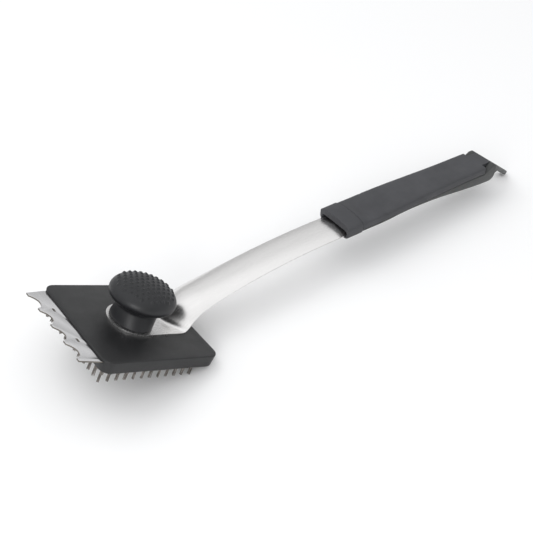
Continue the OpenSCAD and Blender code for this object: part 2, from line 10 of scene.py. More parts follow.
import bmesh
import bpy
from mathutils import Matrix, Vector
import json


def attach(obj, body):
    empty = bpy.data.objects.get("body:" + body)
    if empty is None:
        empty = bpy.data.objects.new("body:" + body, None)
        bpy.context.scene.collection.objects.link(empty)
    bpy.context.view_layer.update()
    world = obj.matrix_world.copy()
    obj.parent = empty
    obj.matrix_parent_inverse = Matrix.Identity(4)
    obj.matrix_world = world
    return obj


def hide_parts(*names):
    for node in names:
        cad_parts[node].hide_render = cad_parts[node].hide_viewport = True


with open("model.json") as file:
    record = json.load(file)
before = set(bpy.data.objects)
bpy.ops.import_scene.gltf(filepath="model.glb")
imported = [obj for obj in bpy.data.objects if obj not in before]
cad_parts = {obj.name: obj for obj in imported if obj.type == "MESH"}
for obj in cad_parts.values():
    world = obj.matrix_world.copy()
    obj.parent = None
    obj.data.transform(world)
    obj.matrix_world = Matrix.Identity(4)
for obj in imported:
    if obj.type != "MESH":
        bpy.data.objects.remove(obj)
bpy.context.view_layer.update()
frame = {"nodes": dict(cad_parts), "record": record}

MM = 0.001
scene = bpy.context.scene
rng = random.Random(7)

# ---- the tool's frame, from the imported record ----

MOUNT_SPOT = Vector((-11.6, 0, 0))      # the bristle mount's place in the tool's frame
bristle_mount = next(m for m in frame["record"]["mounts"] if m["name"] == "bristle_plane")
tilt = math.atan2(-bristle_mount["axis"][0], -bristle_mount["axis"][2])
turn = Matrix.Rotation(tilt, 4, "Y")
TOOL = Matrix.Translation(Vector(bristle_mount["pos_m"]) - turn @ (MOUNT_SPOT * MM)) @ turn
TOOL = TOOL @ Matrix.Scale(MM, 4)


def tool_points(node):
    """A CAD node's corners in the tool's frame, in millimetres."""
    to_tool = TOOL.inverted()
    return [to_tool @ v.co for v in frame["nodes"][node].data.vertices]


def tool_box(node):
    """The lowest and highest corner of a CAD node in the tool's frame."""
    points = tool_points(node)
    low = Vector([min(p[i] for p in points) for i in range(3)])
    high = Vector([max(p[i] for p in points) for i in range(3)])
    return low, high


def clusters(values, gap):
    """Middles of the groups that values fall into, parted wherever two lie over gap apart."""
    values = sorted(values)
    groups = [[values[0]]]
    for value in values[1:]:
        if value - groups[-1][-1] > gap:
            groups.append([])
        groups[-1].append(value)
    return [(g[0] + g[-1]) / 2 for g in groups]


def smooth(t):
    """A soft step from 0 to 1 while t goes from 0 to 1."""
    t = min(max(t, 0.0), 1.0)
    return t * t * (3 - 2 * t)


def spread(a, b, n):
    """n + 1 values from a to b, evenly spaced."""
    return [a + (b - a) * i / n for i in range(n + 1)]


# ---- mesh helpers ----


def new_object(name, mesh):
    obj = bpy.data.objects.new(name, mesh)
    scene.collection.objects.link(obj)
    return obj


def mesh_from(points, faces):
    mesh = bpy.data.meshes.new("part")
    mesh.from_pydata([tuple(p) for p in points], [], faces)
    mesh.validate()
    return mesh


def loft(rings, closed_ends=True):
    """Points and faces of a skin over rings that all have the same number of points."""
    size = len(rings[0])
    points = [p for ring in rings for p in ring]
    faces = []
    for i in range(len(rings) - 1):
        for j in range(size):
            a = i * size + j
            b = i * size + (j + 1) % size
            faces.append((a, b, b + size, a + size))
    if closed_ends:
        faces.append(tuple(reversed(range(size))))
        last = (len(rings) - 1) * size
        faces.append(tuple(range(last, last + size)))
    return points, faces


def outward(mesh):
    """Turns the faces of a closed mesh to the outside."""
    bm = bmesh.new()
    bm.from_mesh(mesh)
    bmesh.ops.recalc_face_normals(bm, faces=bm.faces)
    bm.to_mesh(mesh)
    bm.free()


def apply_modifiers(obj):
    depsgraph = bpy.context.evaluated_depsgraph_get()
    mesh = bpy.data.meshes.new_from_object(obj.evaluated_get(depsgraph))
    obj.modifiers.clear()
    obj.data = mesh
    return obj


def shade(obj, angle):
    """Smooth shading, with the edges that turn by more than angle left sharp."""
    for polygon in obj.data.polygons:
        polygon.use_smooth = True
    obj.data.set_sharp_from_angle(angle=math.radians(angle))


def bevel(obj, width, segments, angle):
    modifier = obj.modifiers.new("edges", "BEVEL")
    modifier.width = width
    modifier.segments = segments
    modifier.limit_method = "ANGLE"
    modifier.angle_limit = math.radians(angle)
    apply_modifiers(obj)


def cut(obj, cutter):
    modifier = obj.modifiers.new("cut", "BOOLEAN")
    modifier.operation = "DIFFERENCE"
    modifier.solver = "EXACT"
    modifier.object = cutter
    apply_modifiers(obj)
    bpy.data.objects.remove(cutter)


def add_piece(obj, material, nodes, smooth_angle):
    """Puts a piece drawn in the tool's frame in its place and lets it stand for its CAD nodes."""
    obj.data.transform(TOOL)
    shade(obj, smooth_angle)
    obj.data.materials.clear()
    obj.data.materials.append(material)
    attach(obj, "root")
    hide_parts(*nodes)
    return obj


def plate_from_outline(name, outline, holes, z0, thick, edge):
    """A flat plate with rounded edges, from its outline and holes as lists of (x, y)."""
    curve = bpy.data.curves.new(name, "CURVE")
    curve.dimensions = "2D"
    curve.fill_mode = "BOTH"
    curve.bevel_depth = edge
    curve.bevel_resolution = 2
    curve.extrude = thick / 2 - edge
    curve.offset = -edge
    for loop in [outline] + holes:
        spline = curve.splines.new("POLY")
        spline.points.add(len(loop) - 1)
        for point, (x, y) in zip(spline.points, loop):
            point.co = (x, y, 0, 1)
        spline.use_cyclic_u = True
    source = new_object(name + "_outline", curve)
    depsgraph = bpy.context.evaluated_depsgraph_get()
    mesh = bpy.data.meshes.new_from_object(source.evaluated_get(depsgraph))
    bpy.data.objects.remove(source)
    mesh.transform(Matrix.Translation((0, 0, z0 + thick / 2)))
    bm = bmesh.new()
    bm.from_mesh(mesh)
    bmesh.ops.remove_doubles(bm, verts=bm.verts, dist=0.002)
    bmesh.ops.recalc_face_normals(bm, faces=bm.faces)
    bm.to_mesh(mesh)
    bm.free()
    return new_object(name, mesh)


# ---- materials ----


class Shader:
    """A Principled material with helpers for the detail layers that feed it."""

    def __init__(self, name, colour, rough, metal=0.0):
        self.material = bpy.data.materials.new(name)
        self.material.use_nodes = True
        self.nodes = self.material.node_tree.nodes
        self.links = self.material.node_tree.links
        self.main = self.nodes["Principled BSDF"]
        self.main.inputs["Base Color"].default_value = (*colour, 1)
        self.main.inputs["Roughness"].default_value = rough
        self.main.inputs["Metallic"].default_value = metal
        self.where = self.nodes.new("ShaderNodeTexCoord")
        self.bumped = None

    def mapped(self, source, scale):
        mapping = self.nodes.new("ShaderNodeMapping")
        mapping.inputs["Scale"].default_value = scale
        self.links.new(self.where.outputs[source], mapping.inputs["Vector"])
        return mapping.outputs["Vector"]

    def noise(self, per_metre, detail=3.0, source="Object", stretch=(1, 1, 1), rough=0.5):
        """Noise with about per_metre waves a metre along each axis, times stretch."""
        node = self.nodes.new("ShaderNodeTexNoise")
        node.inputs["Scale"].default_value = per_metre
        node.inputs["Detail"].default_value = detail
        node.inputs["Roughness"].default_value = rough
        self.links.new(self.mapped(source, stretch), node.inputs["Vector"])
        return node.outputs["Fac"]

    def ranged(self, value, low, high, start=0.3, end=0.7):
        """Goes from low to high while value goes from start to end."""
        node = self.nodes.new("ShaderNodeMapRange")
        node.inputs["From Min"].default_value = start
        node.inputs["From Max"].default_value = end
        node.inputs["To Min"].default_value = low
        node.inputs["To Max"].default_value = high
        self.links.new(value, node.inputs["Value"])
        return node.outputs["Result"]

    def vary_colour(self, value, dark, light, start=0.3, end=0.7):
        node = self.nodes.new("ShaderNodeMix")
        node.data_type = "RGBA"
        node.inputs["A"].default_value = (*dark, 1)
        node.inputs["B"].default_value = (*light, 1)
        self.links.new(self.ranged(value, 0, 1, start, end), node.inputs["Factor"])
        self.links.new(node.outputs["Result"], self.main.inputs["Base Color"])

    def vary_rough(self, value, low, high):
        self.links.new(self.ranged(value, low, high), self.main.inputs["Roughness"])

    def bump(self, value, height, strength=1.0):
        """Adds a bump layer; height is its depth in metres."""
        node = self.nodes.new("ShaderNodeBump")
        node.inputs["Distance"].default_value = height
        node.inputs["Strength"].default_value = strength
        self.links.new(value, node.inputs["Height"])
        if self.bumped:
            self.links.new(self.bumped, node.inputs["Normal"])
        self.bumped = node.outputs["Normal"]
        self.links.new(self.bumped, self.main.inputs["Normal"])


def scaled(colour, factor):
    return tuple(c * factor for c in colour)


# Noise is given in waves a metre and octaves, and bump depth in metres.


def moulded(name, colour, rough, grain=2600, grain_depth=0.00006):
    """Moulded plastic or rubber: a fine eroded grain, faint flow marks and handling marks."""
    s = Shader(name, colour, rough)
    s.vary_colour(s.noise(38, 4), scaled(colour, 0.88), scaled(colour, 1.12))
    s.vary_rough(s.noise(90, 5), rough * 0.9, rough * 1.12)
    s.bump(s.noise(120, 2), 0.00003)
    s.bump(s.noise(grain, 2, rough=0.6), grain_depth)
    return s.material


def brushed_steel(name, colour, rough, source, stretch, scale):
    """Brushed stainless sheet, its lines drawn out along the direction that stretch shrinks."""
    s = Shader(name, colour, rough, metal=1.0)
    lines = s.noise(scale, 4, source, stretch, 0.65)
    s.vary_rough(lines, rough * 0.8, rough * 1.25)
    streaks = s.noise(scale * 0.4, 2, source, stretch)
    s.vary_colour(streaks, scaled(colour, 0.96), scaled(colour, 1.03))
    s.bump(lines, 0.000004, 0.6)
    s.bump(s.noise(22, 2), 0.00002)
    return s.material


def turned_metal(name, colour, rough):
    """Bare metal with a fine, slightly blotchy finish."""
    s = Shader(name, colour, rough, metal=1.0)
    s.vary_rough(s.noise(900, 3), rough * 0.75, rough * 1.3)
    s.vary_colour(s.noise(300, 3), scaled(colour, 0.85), scaled(colour, 1.08))
    s.bump(s.noise(1500, 2), 0.00001)
    return s.material


def wire_metal(name, colour):
    """Dull drawn wire, darker in some places than in others."""
    s = Shader(name, colour, 0.34, metal=0.85)
    s.vary_colour(s.noise(420, 3), scaled(colour, 0.55), scaled(colour, 1.3), 0.35, 0.65)
    s.vary_rough(s.noise(600, 2), 0.26, 0.5)
    s.bump(s.noise(2500, 2), 0.00002)
    return s.material


head_plastic = moulded("head_plastic", (0.0095, 0.0098, 0.0106), 0.44)
core_plastic = moulded("core_plastic", (0.02, 0.02, 0.022), 0.5)
knob_rubber = moulded("knob_rubber", (0.0105, 0.011, 0.0128), 0.44, grain=3200, grain_depth=0.00005)
soft_grip = moulded("soft_grip", (0.045, 0.046, 0.051), 0.58, grain=3600, grain_depth=0.00007)
grip_plastic = moulded("grip_plastic", (0.04, 0.042, 0.041), 0.48)
arm_steel = brushed_steel("arm_steel", (0.79, 0.78, 0.77), 0.25, "UV", (1, 60, 1), 14)
scraper_steel = brushed_steel("scraper_steel", (0.78, 0.775, 0.78), 0.15, "Object", (60, 1, 60), 40)
# The sheet's cut edges: a rougher sheared finish (real), with painted shade in a colour much darker
# than the sheet's own.
sheared_steel_painted_shade = turned_metal("sheared_steel_painted_shade", (0.2, 0.185, 0.165), 0.45)
screw_steel = turned_metal("screw_steel", (0.55, 0.55, 0.56), 0.3)
insert_brass = turned_metal("insert_brass", (0.7, 0.52, 0.24), 0.32)
bristle_wire = wire_metal("bristle_wire", (0.24, 0.222, 0.205))

# The CAD nodes that are kept as they are and only get a material
CARRIED_OVER = {
    "scraper_screws": screw_steel,
    "bristle_anchors": screw_steel,
    "arm_screws": screw_steel,
    "knob_core": core_plastic,
    "knob_insert": insert_brass,
    "knob_screw": screw_steel,
    "knob_washer": screw_steel,
    "tang_screws": screw_steel,
    "tang_nuts": screw_steel,
}
for node, material in CARRIED_OVER.items():
    mesh = frame["nodes"][node].data
    mesh.materials.clear()
    mesh.materials.append(material)

# ---- head block ----

block_low, block_high = tool_box("head_block")
plate_low, plate_high = tool_box("scraper_plate")
block_z0 = block_low.z
block_z1 = block_high.z
front_x = block_low.x
back_x = block_high.x
half_head = block_high.y
head_corner = 8.5
lower_draft = 1.0           # how far the lower edge lies inside the upper one
lower_round = 0.4
upper_round = 0.55
top_crown = 0.15            # how far the top's middle stands over the rounded edge
front_chamfer = 0.6         # width of the flat chamfer along the front of the top
corner_steps = 10
tuft_r = 1.2
hole_depth = 3.0            # depth of the drawn tuft and scraper screw holes
knob_bore_r = 5.0
knob_bore_depth = 4.5
slot_ahead = 2.0            # how far the slot's cutter stands out in front of the block


def block_ring(z, inset, front_extra=0.0):
    """Rounded rectangle round the head at height z, counter-clockwise."""
    x0 = front_x + inset + front_extra
    x1 = back_x - inset
    y1 = half_head - inset
    r = max(head_corner - inset, 1.0)
    ring = []
    corners = (
        (x1 - r, y1 - r, 0),
        (x0 + r, y1 - r, 90),
        (x0 + r, r - y1, 180),
        (x1 - r, r - y1, 270),
    )
    for cx, cy, start in corners:
        for a in spread(start, start + 90, corner_steps):
            a = math.radians(a)
            ring.append((cx + r * math.cos(a), cy + r * math.sin(a), z))
    return ring


def quarter(start_inset, start_z, radius, top):
    """Insets and heights of a quarter-round edge, at the top or the bottom, going up."""
    edge = []
    for a in spread(0, 90, 4):
        rise = radius * (1 - math.cos(math.radians(a)))
        fall = radius * (1 - math.sin(math.radians(a)))
        if top:
            edge.append((start_inset + rise, start_z - fall))
        else:
            edge.append((start_inset + fall, start_z + rise))
    return edge


def head_cutter(tufts):
    """One joined cutter: the tuft holes, the scraper's slot and the screw ways."""
    bm = bmesh.new()

    def bore(x, y, r, depth, sides):
        """A round hole from 1 mm under the block up to depth inside it."""
        made = bmesh.ops.create_cone(
            bm, cap_ends=True, segments=sides, radius1=r, radius2=r, depth=depth + 1
        )
        bmesh.ops.translate(bm, verts=made["verts"], vec=(x, y, block_z0 + (depth - 1) / 2))

    for x, y in tufts:
        bore(x, y, tuft_r + 0.1, hole_depth, 12)
    slot = bmesh.ops.create_cube(bm, size=1)["verts"]
    slot_size = (
        plate_high.x - front_x + slot_ahead + 0.2,
        plate_high.y - plate_low.y + 0.8,
        plate_high.z - plate_low.z + 0.5,
    )
    bmesh.ops.scale(bm, verts=slot, vec=slot_size)
    slot_mid = (front_x - slot_ahead + slot_size[0] / 2, 0, (plate_low.z + plate_high.z) / 2)
    bmesh.ops.translate(bm, verts=slot, vec=slot_mid)
    bore(0, 0, knob_bore_r, knob_bore_depth, 40)
    screw_low, screw_high = tool_box("scraper_screws")
    screw_x = (screw_low.x + screw_high.x) / 2
    screw_r = (screw_high.x - screw_low.x) / 2
    for side in (-1, 1):
        bore(screw_x, side * (screw_high.y - screw_r), screw_r + 0.2, hole_depth, 32)
    mesh = bpy.data.meshes.new("head_cutter")
    bm.to_mesh(mesh)
    bm.free()
    return new_object("head_cutter", mesh)


def build_head(tufts):
    profile = quarter(lower_draft, block_z0, lower_round, top=False)
    profile += quarter(0.0, block_z1 - top_crown, upper_round, top=True)[:-1]
    rings = [block_ring(z, inset) for inset, z in profile]
    rings.append(block_ring(block_z1 - top_crown, upper_round + 0.05))
    rings.append(block_ring(block_z1 - top_crown / 3, upper_round + 0.3, front_chamfer / 2))
    rings.append(block_ring(block_z1, upper_round + 0.75, front_chamfer))
    obj = new_object("head_shell", mesh_from(*loft(rings)))
    outward(obj.data)
    cut(obj, head_cutter(tufts))
    add_piece(obj, head_plastic, ["head_block"], 30)


# ---- bristles ----

wires_per_tuft = 19
wire_w = 0.34
wire_t = 0.2
wire_foot = 2.5             # how deep the wires reach into the block
wire_sway = 0.16            # how far a wire's middle may bow out
uneven = 0.55               # how far a wire's tip may end short of the bristle plane


def tuft_places():
    """Row node name -> its tufts' (x, y)."""
    rows = {}
    for node in sorted(n for n in frame["nodes"] if n.startswith("bristle_row")):
        low, high = tool_box(node)
        x = (low.x + high.x) / 2
        rows[node] = [(x, y) for y in clusters([p.y for p in tool_points(node)], tuft_r)]
    return rows


def wire(points, faces, x, y):
    """One bent flat wire of a tuft at (x, y), from inside the block to its tip."""
    angle = rng.uniform(0, 2 * math.pi)
    reach = math.sqrt(rng.random()) * (tuft_r - wire_w / 2)
    root = Vector((x + reach * math.cos(angle), y + reach * math.sin(angle), block_z0 + wire_foot))
    lean = angle + rng.uniform(-0.7, 0.7)
    tip_reach = min(reach * rng.uniform(0.9, 1.35) + 0.05, tuft_r - 0.12)
    tip_x = x + tip_reach * math.cos(lean)
    tip_y = y + tip_reach * math.sin(lean)
    tip = Vector((tip_x, tip_y, rng.uniform(0.0, uneven)))
    sway = Vector((rng.uniform(-wire_sway, wire_sway), rng.uniform(-wire_sway, wire_sway), 0))
    facing = rng.uniform(0, math.pi)
    across = Vector((math.cos(facing), math.sin(facing), 0)) * wire_w / 2
    thick = Vector((-math.sin(facing), math.cos(facing), 0)) * wire_t / 2
    steps = 4
    base = len(points)
    for i in range(steps + 1):
        t = i / steps
        middle = root.lerp(tip, t) + sway * math.sin(math.pi * t)
        for side in (across + thick, thick - across, -across - thick, across - thick):
            points.append(middle + side)
    for i in range(steps):
        for j in range(4):
            a = base + 4 * i + j
            b = base + 4 * i + (j + 1) % 4
            faces.append((a, a + 4, b + 4, b))
    faces.append((base, base + 1, base + 2, base + 3))
    end = base + 4 * steps
    faces.append((end + 3, end + 2, end + 1, end))


def build_bristles(rows):
    for node, places in rows.items():
        points = []
        faces = []
        for x, y in places:
            for _ in range(wires_per_tuft):
                wire(points, faces, x, y)
        obj = new_object("wires_" + node[-2:], mesh_from(points, faces))
        outward(obj.data)
        add_piece(obj, bristle_wire, [node], 40)


# ---- scraper ----

tooth_pitch = 20.0
tooth_flat = 3.5
notch_depth = 5.0
window_r = 0.95             # radius of the ends of the two windows
window_len = 2.4            # distance between the middles of those ends
scraper_taper = 2.5         # how much narrower the sheet is at the teeth, on each side
sheared_round = 0.14        # rounding of the sheet's edges


def scraper_outline():
    """Outline of the sheet: the back corners, then the toothed front edge."""
    tip_x = plate_low.x
    half_back = plate_high.y
    half_tip = half_back - scraper_taper
    span = tooth_pitch - tooth_flat
    run = span * 0.55
    outline = [(tip_x, half_tip), (front_x, half_back), (plate_high.x, half_back)]
    outline += [(plate_high.x, -half_back), (front_x, -half_back), (tip_x, -half_tip)]
    for k in (-1, 0, 1, 2):
        top = k * tooth_pitch - tooth_flat / 2
        for a in spread(90, 0, 10):
            a = math.radians(a)
            y = top - run - (span - run) * math.sin(a)
            outline.append((tip_x + notch_depth * math.cos(a), y))
        for t in spread(1, 0, 10)[1:]:
            outline.append((tip_x + notch_depth * (1 - (1 - t) ** 2), top - run * t))
    return outline


def window(y):
    """Outline of an oblong hole between the block and the teeth."""
    x = front_x - (front_x - plate_low.x) / 3
    loop = []
    for side in (1, -1):
        for a in spread(0, 180, 10):
            a = math.radians(a)
            end_y = window_len / 2 + window_r * math.sin(a)
            loop.append((x + side * window_r * math.cos(a), y + side * end_y))
    return loop


def build_scraper():
    holes = [window(side * tooth_pitch * 0.93) for side in (-1, 1)]
    thick = plate_high.z - plate_low.z
    outline = scraper_outline()
    obj = plate_from_outline("scraper_sheet", outline, holes, plate_low.z, thick, sheared_round)
    walls = [p.index for p in obj.data.polygons if abs(p.normal.z) < 0.5]
    add_piece(obj, scraper_steel, ["scraper_plate"], 30)
    # The cut edge walls, hole rims and teeth edges get the darker metal: painted shade along the
    # sheet's edges.
    obj.data.materials.append(sheared_steel_painted_shade)
    for index in walls:
        obj.data.polygons[index].material_index = 1


# ---- arm ----

# The arm's line starts at the fold, rises steeply, bends over at the knee and sweeps gently on to
# the grip's mouth. A place on it has a length u from the fold and a share t of the half width.
arm_t = 1.5
tab_z1 = block_z1 + arm_t
tab_r = 21.3
fold_back = 36.2
rise_angle = 62.0
knee_angle = 36.0
end_angle = 24.4
rise_len = 7.6
knee_r = 39.0
knee_len = knee_r * math.radians(rise_angle - knee_angle)
sweep_len = 139.0
mouth_u = rise_len + knee_len + sweep_len
arm_end_w = 15.3            # half widths and arch heights, at the mouth and at the fold
arm_root_w = 20.7
arm_end_h = 2.2
arm_root_h = 10.0
w_fade = 32.0               # lengths over which the root's width, arch and ridge fade out
h_fade = 34.0
ridge_fade = 15.0
tang_len = 112.0
tang_w = 9.5
tang_h = 1.5
tang_taper = 14.0
fold_leg = 4.5              # length of the soft bend on each side of the fold
arm_round = 0.6             # rounding of the sheet's edges
crown_soft = 0.07           # rounds the crown's ridge, as a share of the half width


def along(degrees):
    """Direction of a line at that slope, in the plane of symmetry."""
    return Vector((math.cos(math.radians(degrees)), 0, math.sin(math.radians(degrees))))


def normal(degrees):
    """Direction square to a line at that slope, upwards."""
    return Vector((-math.sin(math.radians(degrees)), 0, math.cos(math.radians(degrees))))


# The two nuts inside the grip give its direction and its place
nut_points = tool_points("tang_nuts")
nut_split = sum(p.x for p in nut_points) / len(nut_points)
nut_mids = []
for side in (-1, 1):
    group = [p for p in nut_points if (p.x - nut_split) * side > 0]
    nut_mids.append(sum(group, Vector()) / len(group))
grip_dir = (nut_mids[1] - nut_mids[0]).normalized()
grip_angle = math.degrees(math.atan2(grip_dir.z, grip_dir.x))
first_nut_s = 45.0          # the first nut's place along the grip
nut_mid_z = -4.4            # its place above the line of the grip's top edges
grip_origin = nut_mids[0] - first_nut_s * along(grip_angle) - nut_mid_z * normal(grip_angle)


def arc_point(start, a0, a1, length, u):
    """Point at u on an arc of that length, whose slope falls from a0 to a1 degrees."""
    r = length / math.radians(a0 - a1)
    a = math.radians(a0 - (a0 - a1) * u / length)
    a0 = math.radians(a0)
    return start + r * Vector((math.sin(a0) - math.sin(a), 0, math.cos(a) - math.cos(a0)))


fold = Vector((fold_back, 0, tab_z1))
knee = fold + rise_len * along(rise_angle)
sweep = arc_point(knee, rise_angle, knee_angle, knee_len, knee_len)
sweep_end = arc_point(sweep, knee_angle, end_angle, sweep_len, sweep_len)


def path_point(u):
    """Point on the line of the arm's edges."""
    if u < rise_len:
        return fold + u * along(rise_angle)
    if u < rise_len + knee_len:
        return arc_point(knee, rise_angle, knee_angle, knee_len, u - rise_len)
    if u < mouth_u:
        return arc_point(sweep, knee_angle, end_angle, sweep_len, u - rise_len - knee_len)
    return sweep_end + (u - mouth_u) * along(grip_angle)


def path_angle(u):
    """Slope of the line of the arm's edges, in degrees."""
    if u < rise_len:
        return rise_angle
    if u < rise_len + knee_len:
        return rise_angle - (rise_angle - knee_angle) * (u - rise_len) / knee_len
    if u < mouth_u:
        return knee_angle - (knee_angle - end_angle) * (u - rise_len - knee_len) / sweep_len
    return grip_angle


def arm_w(u):
    """Half width of the arm."""
    wide = arm_end_w + (arm_root_w - arm_end_w) * math.exp(-max(u, 0) / w_fade)
    return wide + (tang_w - wide) * smooth((u - mouth_u) / tang_taper)


def arm_crown(u, t):
    """Height of the arch over the line of its edges: a ridge at the root, round further up."""
    high = arm_end_h + (arm_root_h - arm_end_h) * math.exp(-max(u, 0) / h_fade)
    high += (tang_h - high) * smooth((u - mouth_u) / tang_taper)
    roundness = 2.2 - 1.1 * math.exp(-max(u, 0) / ridge_fade)
    soft = math.hypot(t, crown_soft) - crown_soft
    soft /= math.hypot(1, crown_soft) - crown_soft
    return high * (1 - soft ** roundness)


def arm_point(u, t):
    return path_point(u) + arm_crown(u, t) * normal(path_angle(u)) + Vector((0, t * arm_w(u), 0))


def arm_line(t):
    """Points along the arm at a share t of its half width: flat tab, soft fold and sweep."""
    tab_steps = 22
    bend_steps = 8
    sweep_steps = 96
    start_u = -arm_crown(0, t) / math.tan(math.radians(rise_angle))
    corner = arm_point(start_u, t)
    front = -tab_r * math.sqrt(max(1 - t * t, 0))
    line = []
    for s in spread(0, 1, tab_steps):
        x = front + (corner.x - fold_leg - front) * s
        half = tab_r + (arm_root_w - tab_r) * smooth((x + 5) / (fold_back - 5))
        line.append(Vector((x, t * half, tab_z1)))
    bend_start = line[-1]
    bend_end = arm_point(start_u + fold_leg, t)
    for s in spread(0, 1, bend_steps)[1:]:
        line.append(bend_start * (1 - s) ** 2 + corner * 2 * s * (1 - s) + bend_end * s * s)
    stations = spread(fold_leg, mouth_u + tang_taper, sweep_steps)[1:]
    for i, u in enumerate(stations):
        lag = start_u * (1 - smooth((i + 1) * 6 / sweep_steps))
        line.append(arm_point(u + lag, t))
    line.append(arm_point(mouth_u + tang_len, t))
    return line


def build_arm():
    """The pressed sheet: its upper face as a net of lines, then thickened downwards."""
    columns = 60
    shares = [math.sin(math.pi / 2 * s) for s in spread(-1, 1, columns)]
    lines = [arm_line(t) for t in shares]
    size = len(lines[0])
    points = [p for line in lines for p in line]
    faces = []
    for i in range(columns):
        for j in range(size - 1):
            a = i * size + j
            faces.append((a, a + size, a + size + 1, a + 1))
    mesh = mesh_from(points, faces)
    bm = bmesh.new()
    bm.from_mesh(mesh)
    bmesh.ops.remove_doubles(bm, verts=bm.verts, dist=0.01)
    layer = bm.loops.layers.uv.new("along")
    for face in bm.faces:
        for loop in face.loops:
            loop[layer].uv = (loop.vert.co.x * MM * 10, loop.vert.co.y * MM * 10)
    bm.normal_update()
    if sum(f.normal.z for f in bm.faces) < 0:
        bmesh.ops.reverse_faces(bm, faces=bm.faces)
    bm.to_mesh(mesh)
    bm.free()
    obj = new_object("arm_sheet", mesh)
    sheet = obj.modifiers.new("sheet", "SOLIDIFY")
    sheet.thickness = arm_t
    sheet.offset = -1
    sheet.use_even_offset = True
    apply_modifiers(obj)
    bevel(obj, arm_round, 4, 50)
    add_piece(obj, arm_steel, ["arm"], 50)


# ---- knob ----

cover_low, cover_high = tool_box("knob_cover")
cap_r = (cover_high.x - cover_low.x) / 2
cap_top = cover_high.z
foot_z = cover_low.z
knob_h = cap_top - foot_z
waist_r = 16.5
foot_w = 19.2               # half width and half length of the oval foot
foot_l = 16.0
foot_lead = 2.6             # how far the foot sits in front of the cap
foot_round = 0.5
lip_z = knob_h * 0.44       # heights of the cap's underside and of its rim
rim_z = knob_h * 0.64
pip_pitch = 4.8
pip_r = 1.5
pip_h = 1.0
pip_rise = 0.8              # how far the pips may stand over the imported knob
pip_field = 22.0            # radius of the field of pips
knob_sides = 288
dome_rings = 92


def pip_height(x, y):
    """Height of the pips at a place on the cap: round studs on a triangular grid."""
    row_gap = pip_pitch * math.sqrt(3) / 2
    height = 0.0
    row = round(y / row_gap)
    for r in (row - 1, row, row + 1):
        shift = pip_pitch / 2 if r % 2 else 0.0
        column = round((x - shift) / pip_pitch)
        px = column * pip_pitch + shift
        py = r * row_gap
        if math.hypot(px, py) > pip_field:
            continue
        away = math.hypot(x - px, y - py) / pip_r
        if away < 1:
            height = max(height, pip_h * (1 - away * away) ** 1.5)
    return height


def build_knob():
    """The cover: a flared oval neck, the cap's underside and a dome with pips."""
    rings = []

    def oval(z, half_l, half_w, lead):
        ring = []
        for i in range(knob_sides):
            a = 2 * math.pi * i / knob_sides
            ring.append(Vector((half_l * math.cos(a) - lead, half_w * math.sin(a), foot_z + z)))
        rings.append(ring)

    oval(0.0, foot_l - foot_round, foot_w - foot_round, foot_lead)
    for t in spread(0.02, 1, 26):
        flare = (1 - t) ** 2.2
        round_in = foot_round * max(0.0, 1 - t * 18) ** 2
        top_fillet = 1.6 * smooth((t - 0.72) / 0.28) ** 2
        half_l = waist_r + (foot_l - waist_r) * flare - round_in + top_fillet
        half_w = waist_r + (foot_w - waist_r) * flare - round_in + top_fillet
        oval(t * (lip_z - 0.2), half_l, half_w, foot_lead * (1 - t))
    for a in spread(-78, 0, 22):
        a = math.radians(a)
        r = waist_r + 1 + (cap_r - waist_r - 1) * math.cos(a)
        oval(rim_z + (rim_z - lip_z) * math.sin(a), r, r, 0.0)
    dome_start = len(rings)
    for a in spread(0, 90, dome_rings)[1:-1]:
        a = math.radians(a)
        r = cap_r * math.cos(a) ** 0.8
        z = rim_z + (knob_h - rim_z) * math.sin(a)
        oval(z, r, r, 0.0)
    for ring in rings[dome_start:]:
        for p in ring:
            lift = pip_height(p.x, p.y)
            if lift:
                out = Vector((p.x * 0.4, p.y * 0.4, cap_r)).normalized()
                p += out * lift
    points, faces = loft(rings)
    obj = new_object("knob_cap", mesh_from(points, faces))
    outward(obj.data)
    sink = max(v.co.z for v in obj.data.vertices) - cap_top - pip_rise
    if sink > 0:
        for v in obj.data.vertices:
            share = smooth((v.co.z - foot_z - rim_z) / (knob_h - rim_z))
            v.co.z -= sink * share
    add_piece(obj, knob_rubber, ["knob_cover"], 70)


# ---- grip ----

# The grip has a frame of its own at its mouth: s along it, y across it, and z up from the line
# of its top edges. A ring's inset is how far it lies inside the full section.
grip_len = 184.0
grip_front_w = 18.0         # half widths of the top
grip_back_w = 14.8
side_out = 0.6              # how far the sides stand out past the top
grip_h = 12.0
collar_h = 10.8
heel_drop = 13.5            # how much deeper the heel is
grip_wall = 2.6
collar_len = 16.0
collar_out = 0.5            # how far the collar stands out round the cover
side_z = -2.6               # level at which the grip is widest
rim_up = 1.1                # how far the rims rise over the line of the top edges
camber = 1.3                # how far the top arches along its length
dish = 1.2                  # hollow of the top
collar_arch = 2.0           # arch of the collar's top
mouth_w = 16.0              # half width of the slot in the collar
mouth_z = (-9.2, -3.0)      # levels of the slot's floor and roof
split_z = -6.5              # parting line between cover and body
seam = 0.25                 # half of the gap between the collar and the pieces behind it
cover_end = 180.0
shoulder = 168.0            # where the cover's sides end, in front of the loop's ears
tongue_w = 9.5              # half width of the cover between the ears
ear_foot = 4.5              # length of the notch between the cover's side and the ear
ring_points = 72
GRIP = Matrix.Translation(grip_origin) @ Matrix.Rotation(-math.radians(grip_angle), 4, "Y")


def grip_w(s):
    """Half width of the grip."""
    return grip_front_w + (grip_back_w - grip_front_w) * smooth((s - 40) / 100) + side_out


def grip_low(s):
    """Depth of the grip's underside."""
    front = collar_h + (grip_h - collar_h) * smooth((s - collar_len) / 30)
    return front + heel_drop * smooth((s - 55) / 135)


def grip_dish(s):
    """Hollow of the top: the collar's is arched, and a short scoop leads into the dish."""
    return dish - (dish + collar_arch) * (1 - smooth((s - collar_len) / 12))


def low_power(s):
    """How square the lower half of the section is, most of all at the collar."""
    return 2.5 + 1.3 * (1 - smooth((s - collar_len) / 60))


